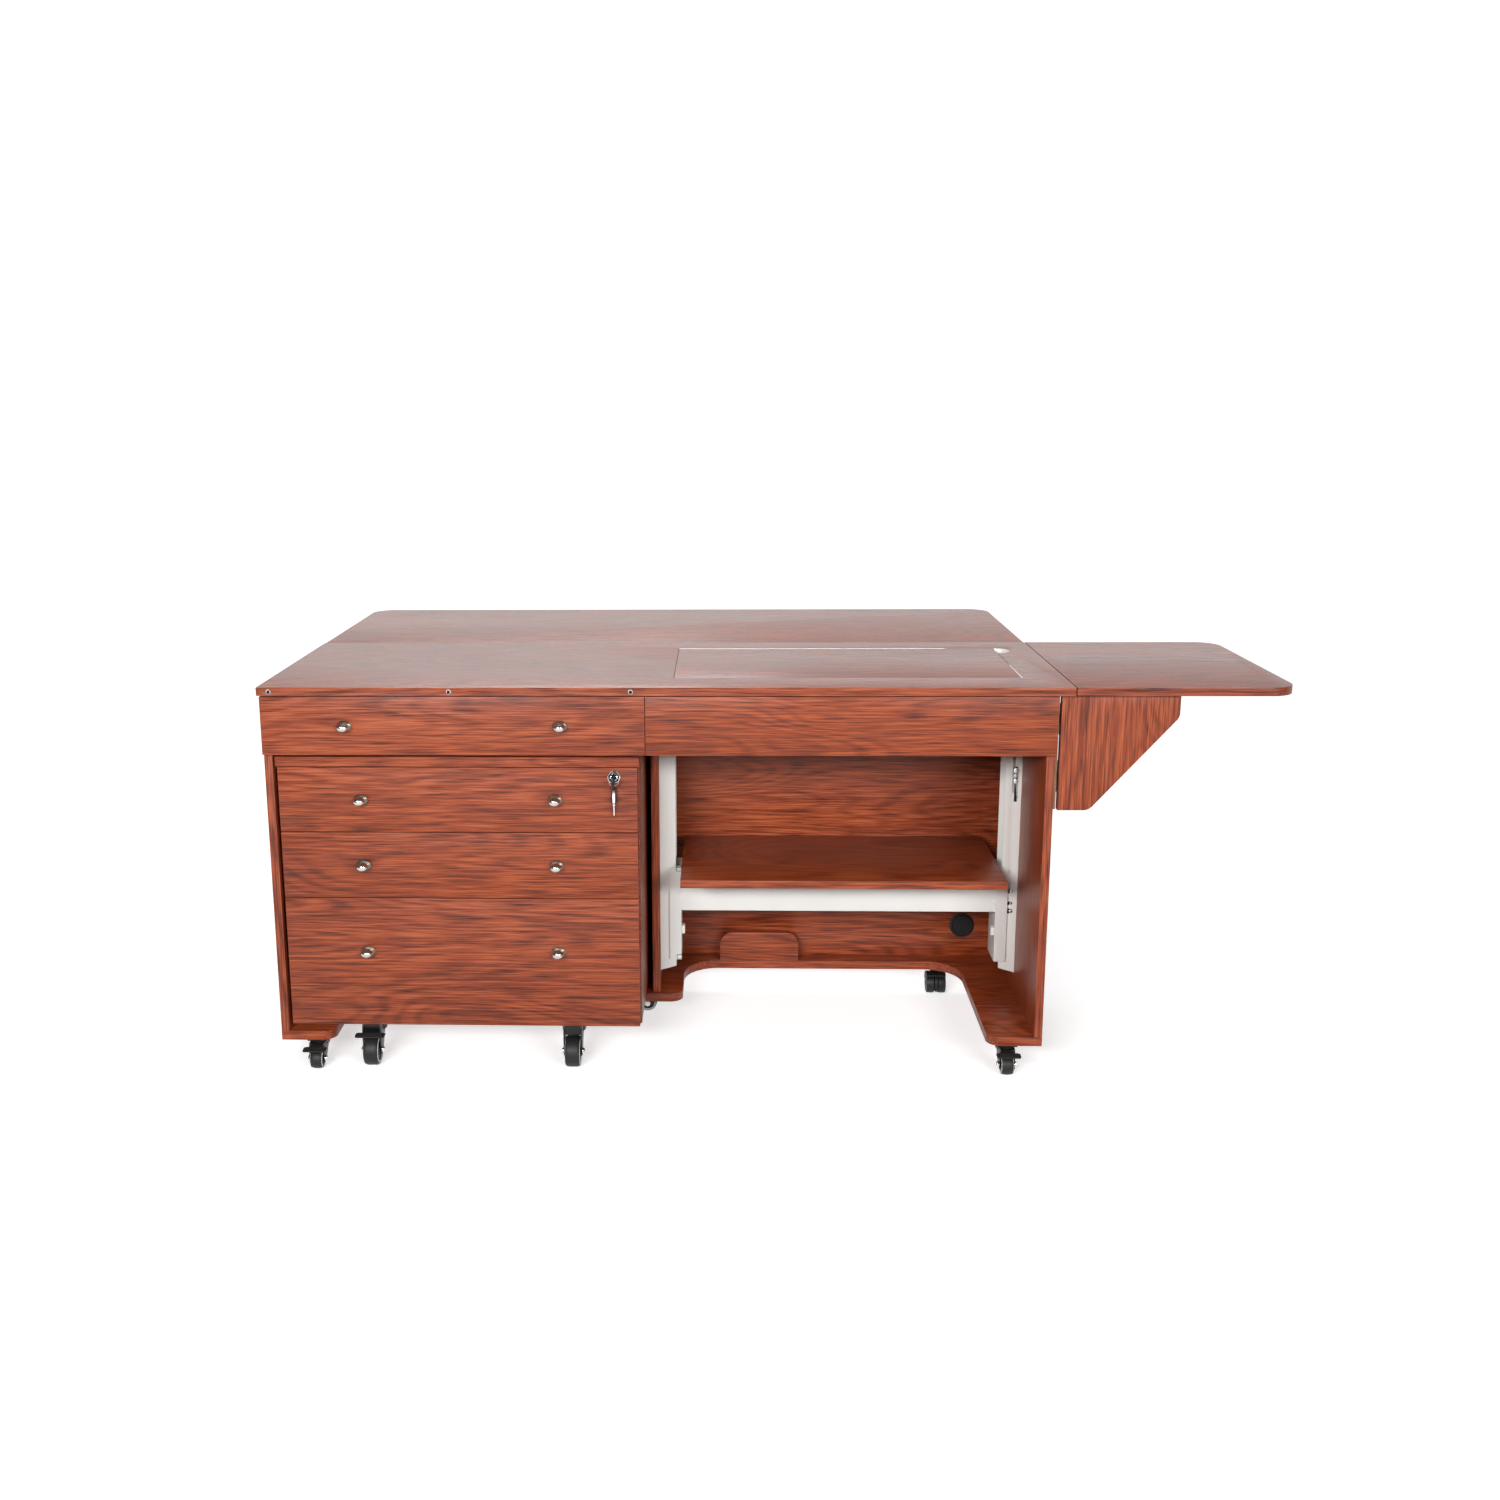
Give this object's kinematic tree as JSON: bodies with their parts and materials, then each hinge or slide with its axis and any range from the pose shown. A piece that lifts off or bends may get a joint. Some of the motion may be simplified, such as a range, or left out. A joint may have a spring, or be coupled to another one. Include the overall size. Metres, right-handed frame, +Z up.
{
  "type": "sewing table",
  "caption": "Sewing cabinet on casters with a machine lift under a lift-out insert, a fold-down back leaf, a side leaf on a swing-out bracket and a roll-out drawer caddy.",
  "frame": {"origin": "on the floor, under the middle of the whole object with its leaves up", "axes": "+X to the right of a person seated at the table, +Y to the back, +Z up"},
  "size_m": [1.924, 1.024, 0.77],
  "materials": {
    "wood_laminate": "satin red-brown wood-grain laminate",
    "pale_board": "matt off-white laminate",
    "knob_nickel": "brushed nickel",
    "bright_metal": "nickel plated",
    "black_plastic": "moulded, matt",
    "pedal_plastic": "moulded, satin",
    "lift_steel": "cream powder coat",
    "rail_steel": "zinc plated",
    "hinge_bronze": "brown plated",
    "stay_steel": "zinc plated",
    "caster_steel": "black enamel",
    "wheel_tread": "matt tread"
  },
  "bodies": {
    "cabinet": {"main_top": "wood_laminate", "left_side_panel": "wood_laminate", "right_side_panel": "wood_laminate", "partition_panel": "wood_laminate", "back_panel": "wood_laminate", "base_board": "wood_laminate", "front_apron": "wood_laminate", "cord_guard": "wood_laminate", "cord_grommet": "black_plastic", "accessory_sockets": "bright_metal", "lift_uprights": "lift_steel", "top_drawer_rails": "rail_steel", "cabinet_hinge_leaves": "hinge_bronze", "stay_wall_arms": "stay_steel"},
    "insert": {"insert_panel": "wood_laminate"},
    "side_leaf": {"right_leaf": "wood_laminate", "right_leaf_hinge_leaves": "hinge_bronze"},
    "rear_leaf": {"back_leaf": "wood_laminate", "stay_leaf_arms": "stay_steel"},
    "stays": {"stay_struts": "stay_steel"},
    "bracket": {"leaf_bracket": "wood_laminate", "bracket_hinge_leaves": "hinge_bronze"},
    "top_drawer": {"top_drawer_front": "wood_laminate", "top_drawer_box": "pale_board", "top_drawer_knobs": "knob_nickel"},
    "lift": {"lift_platform": "wood_laminate", "lift_frame": "lift_steel"},
    "caddy": {"caddy_carcass": "wood_laminate"},
    "upper_drawer": {"upper_drawer_front": "wood_laminate", "upper_drawer_box": "pale_board", "upper_drawer_knobs": "knob_nickel"},
    "middle_drawer": {"middle_drawer_front": "wood_laminate", "middle_drawer_box": "pale_board", "middle_drawer_knobs": "knob_nickel"},
    "lower_drawer": {"lower_drawer_front": "wood_laminate", "lower_drawer_box": "pale_board", "lower_drawer_knobs": "knob_nickel"},
    "lock": {"drawer_lock": "bright_metal"},
    "hanging_key": {"spare_key": "bright_metal"},
    "front_left_caster_fork": {"front_left_caster_fork": "caster_steel"},
    "front_left_caster_wheel": {"front_left_caster_wheel": "wheel_tread"},
    "front_left_caster_pedal": {"front_left_caster_pedal": "pedal_plastic"},
    "front_right_caster_fork": {"front_right_caster_fork": "caster_steel"},
    "front_right_caster_wheel": {"front_right_caster_wheel": "wheel_tread"},
    "front_right_caster_pedal": {"front_right_caster_pedal": "pedal_plastic"},
    "middle_caster_fork": {"middle_caster_fork": "caster_steel"},
    "middle_caster_wheel": {"middle_caster_wheel": "wheel_tread"},
    "rear_left_caster_body": {"rear_left_caster_body": "black_plastic"},
    "rear_left_caster_wheels": {"rear_left_caster_wheels": "black_plastic"},
    "rear_right_caster_body": {"rear_right_caster_body": "black_plastic"},
    "rear_right_caster_wheels": {"rear_right_caster_wheels": "black_plastic"},
    "caddy_front_left_caster_fork": {"caddy_front_left_caster_fork": "caster_steel"},
    "caddy_front_left_caster_wheel": {"caddy_front_left_caster_wheel": "wheel_tread"},
    "caddy_front_left_caster_pedal": {"caddy_front_left_caster_pedal": "pedal_plastic"},
    "caddy_front_right_caster_fork": {"caddy_front_right_caster_fork": "caster_steel"},
    "caddy_front_right_caster_wheel": {"caddy_front_right_caster_wheel": "wheel_tread"},
    "caddy_rear_left_caster_fork": {"caddy_rear_left_caster_fork": "caster_steel"},
    "caddy_rear_left_caster_wheel": {"caddy_rear_left_caster_wheel": "wheel_tread"},
    "caddy_rear_right_caster_fork": {"caddy_rear_right_caster_fork": "caster_steel"},
    "caddy_rear_right_caster_wheel": {"caddy_rear_right_caster_wheel": "wheel_tread"}
  },
  "joints": [
    {"name": "insert_lift_out", "type": "slide", "parent": "cabinet", "child": "insert", "axis": [0, 0, 1], "range_m": [0, 0.05]},
    {"name": "side_leaf_hinge", "type": "hinge", "parent": "cabinet", "child": "side_leaf", "pos_m": [0.559, -0.2, 0.751], "axis": [0, -1, 0], "range_deg": [0, 4]},
    {"name": "rear_leaf_hinge", "type": "hinge", "parent": "cabinet", "child": "rear_leaf", "pos_m": [-0.207, 0.016, 0.744], "axis": [-1, 0, 0], "range_deg": [0, 90]},
    {"name": "stay_pivot", "type": "hinge", "parent": "cabinet", "child": "stays", "pos_m": [-0.207, -0.004, 0.594], "axis": [-1, 0, 0], "range_deg": [0, 130]},
    {"name": "bracket_swing", "type": "hinge", "parent": "cabinet", "child": "bracket", "pos_m": [0.533, -0.457, 0.64], "axis": [0, 0, 1], "range_deg": [0, 90]},
    {"name": "top_drawer_slide", "type": "slide", "parent": "cabinet", "child": "top_drawer", "axis": [0, -1, 0], "range_m": [0, 0.36]},
    {"name": "lift_slide", "type": "slide", "parent": "cabinet", "child": "lift", "axis": [0, 0, 1], "range_m": [0, 0.39]},
    {"name": "caddy_roll_out", "type": "slide", "parent": "cabinet", "child": "caddy", "axis": [0, -1, 0], "range_m": [0, 0.45]},
    {"name": "upper_drawer_slide", "type": "slide", "parent": "caddy", "child": "upper_drawer", "axis": [0, -1, 0], "range_m": [0, 0.34]},
    {"name": "middle_drawer_slide", "type": "slide", "parent": "caddy", "child": "middle_drawer", "axis": [0, -1, 0], "range_m": [0, 0.34]},
    {"name": "lower_drawer_slide", "type": "slide", "parent": "caddy", "child": "lower_drawer", "axis": [0, -1, 0], "range_m": [0, 0.34]},
    {"name": "lock_turn", "type": "hinge", "parent": "upper_drawer", "child": "lock", "pos_m": [-0.295, -0.47, 0.5945], "axis": [0, -1, 0], "range_deg": [0, 90]},
    {"name": "key_swing", "type": "hinge", "parent": "upper_drawer", "child": "hanging_key", "pos_m": [-0.295, -0.479, 0.5945], "axis": [0, 1, 0], "range_deg": [-40, 40]},
    {"name": "front_left_caster_swivel", "type": "hinge", "parent": "cabinet", "child": "front_left_caster_fork", "pos_m": [-0.89, -0.45, 0], "axis": [0, 0, 1], "continuous": true},
    {"name": "front_left_caster_roll", "type": "hinge", "parent": "front_left_caster_fork", "child": "front_left_caster_wheel", "pos_m": [-0.89, -0.474, 0.02], "axis": [1, 0, 0], "continuous": true},
    {"name": "front_left_caster_brake", "type": "hinge", "parent": "front_left_caster_fork", "child": "front_left_caster_pedal", "pos_m": [-0.89, -0.476, 0.045], "axis": [1, 0, 0], "range_deg": [0, 15]},
    {"name": "front_right_caster_swivel", "type": "hinge", "parent": "cabinet", "child": "front_right_caster_fork", "pos_m": [0.462, -0.45, 0], "axis": [0, 0, 1], "continuous": true},
    {"name": "front_right_caster_roll", "type": "hinge", "parent": "front_right_caster_fork", "child": "front_right_caster_wheel", "pos_m": [0.462, -0.474, 0.02], "axis": [1, 0, 0], "continuous": true},
    {"name": "front_right_caster_brake", "type": "hinge", "parent": "front_right_caster_fork", "child": "front_right_caster_pedal", "pos_m": [0.462, -0.476, 0.045], "axis": [1, 0, 0], "range_deg": [0, 15]},
    {"name": "middle_caster_swivel", "type": "hinge", "parent": "cabinet", "child": "middle_caster_fork", "pos_m": [-0.228, -0.174, 0], "axis": [0, 0, 1], "continuous": true},
    {"name": "middle_caster_roll", "type": "hinge", "parent": "middle_caster_fork", "child": "middle_caster_wheel", "pos_m": [-0.252, -0.174, 0.02], "axis": [0, -1, 0], "continuous": true},
    {"name": "rear_left_caster_swivel", "type": "hinge", "parent": "cabinet", "child": "rear_left_caster_body", "pos_m": [-0.809, -0.0515, 0], "axis": [0, 0, 1], "continuous": true},
    {"name": "rear_left_caster_roll", "type": "hinge", "parent": "rear_left_caster_body", "child": "rear_left_caster_wheels", "pos_m": [-0.809, -0.0665, 0.022], "axis": [1, 0, 0], "continuous": true},
    {"name": "rear_right_caster_swivel", "type": "hinge", "parent": "cabinet", "child": "rear_right_caster_body", "pos_m": [0.378, -0.0515, 0], "axis": [0, 0, 1], "continuous": true},
    {"name": "rear_right_caster_roll", "type": "hinge", "parent": "rear_right_caster_body", "child": "rear_right_caster_wheels", "pos_m": [0.378, -0.0665, 0.022], "axis": [1, 0, 0], "continuous": true},
    {"name": "caddy_front_left_caster_swivel", "type": "hinge", "parent": "caddy", "child": "caddy_front_left_caster_fork", "pos_m": [-0.784, -0.426, 0], "axis": [0, 0, 1], "continuous": true},
    {"name": "caddy_front_left_caster_roll", "type": "hinge", "parent": "caddy_front_left_caster_fork", "child": "caddy_front_left_caster_wheel", "pos_m": [-0.784, -0.454, 0.031], "axis": [1, 0, 0], "continuous": true},
    {"name": "caddy_front_left_caster_brake", "type": "hinge", "parent": "caddy_front_left_caster_fork", "child": "caddy_front_left_caster_pedal", "pos_m": [-0.784, -0.456, 0.067], "axis": [1, 0, 0], "range_deg": [0, 15]},
    {"name": "caddy_front_right_caster_swivel", "type": "hinge", "parent": "caddy", "child": "caddy_front_right_caster_fork", "pos_m": [-0.385, -0.426, 0], "axis": [0, 0, 1], "continuous": true},
    {"name": "caddy_front_right_caster_roll", "type": "hinge", "parent": "caddy_front_right_caster_fork", "child": "caddy_front_right_caster_wheel", "pos_m": [-0.385, -0.454, 0.031], "axis": [1, 0, 0], "continuous": true},
    {"name": "caddy_rear_left_caster_swivel", "type": "hinge", "parent": "caddy", "child": "caddy_rear_left_caster_fork", "pos_m": [-0.784, -0.155, 0], "axis": [0, 0, 1], "continuous": true},
    {"name": "caddy_rear_left_caster_roll", "type": "hinge", "parent": "caddy_rear_left_caster_fork", "child": "caddy_rear_left_caster_wheel", "pos_m": [-0.784, -0.183, 0.031], "axis": [1, 0, 0], "continuous": true},
    {"name": "caddy_rear_right_caster_swivel", "type": "hinge", "parent": "caddy", "child": "caddy_rear_right_caster_fork", "pos_m": [-0.385, -0.155, 0], "axis": [0, 0, 1], "continuous": true},
    {"name": "caddy_rear_right_caster_roll", "type": "hinge", "parent": "caddy_rear_right_caster_fork", "child": "caddy_rear_right_caster_wheel", "pos_m": [-0.385, -0.183, 0.031], "axis": [1, 0, 0], "continuous": true}
  ],
  "couplings": [
    {"joint": "stay_pivot", "follows": "rear_leaf_hinge", "ratio": 1.443}
  ]
}
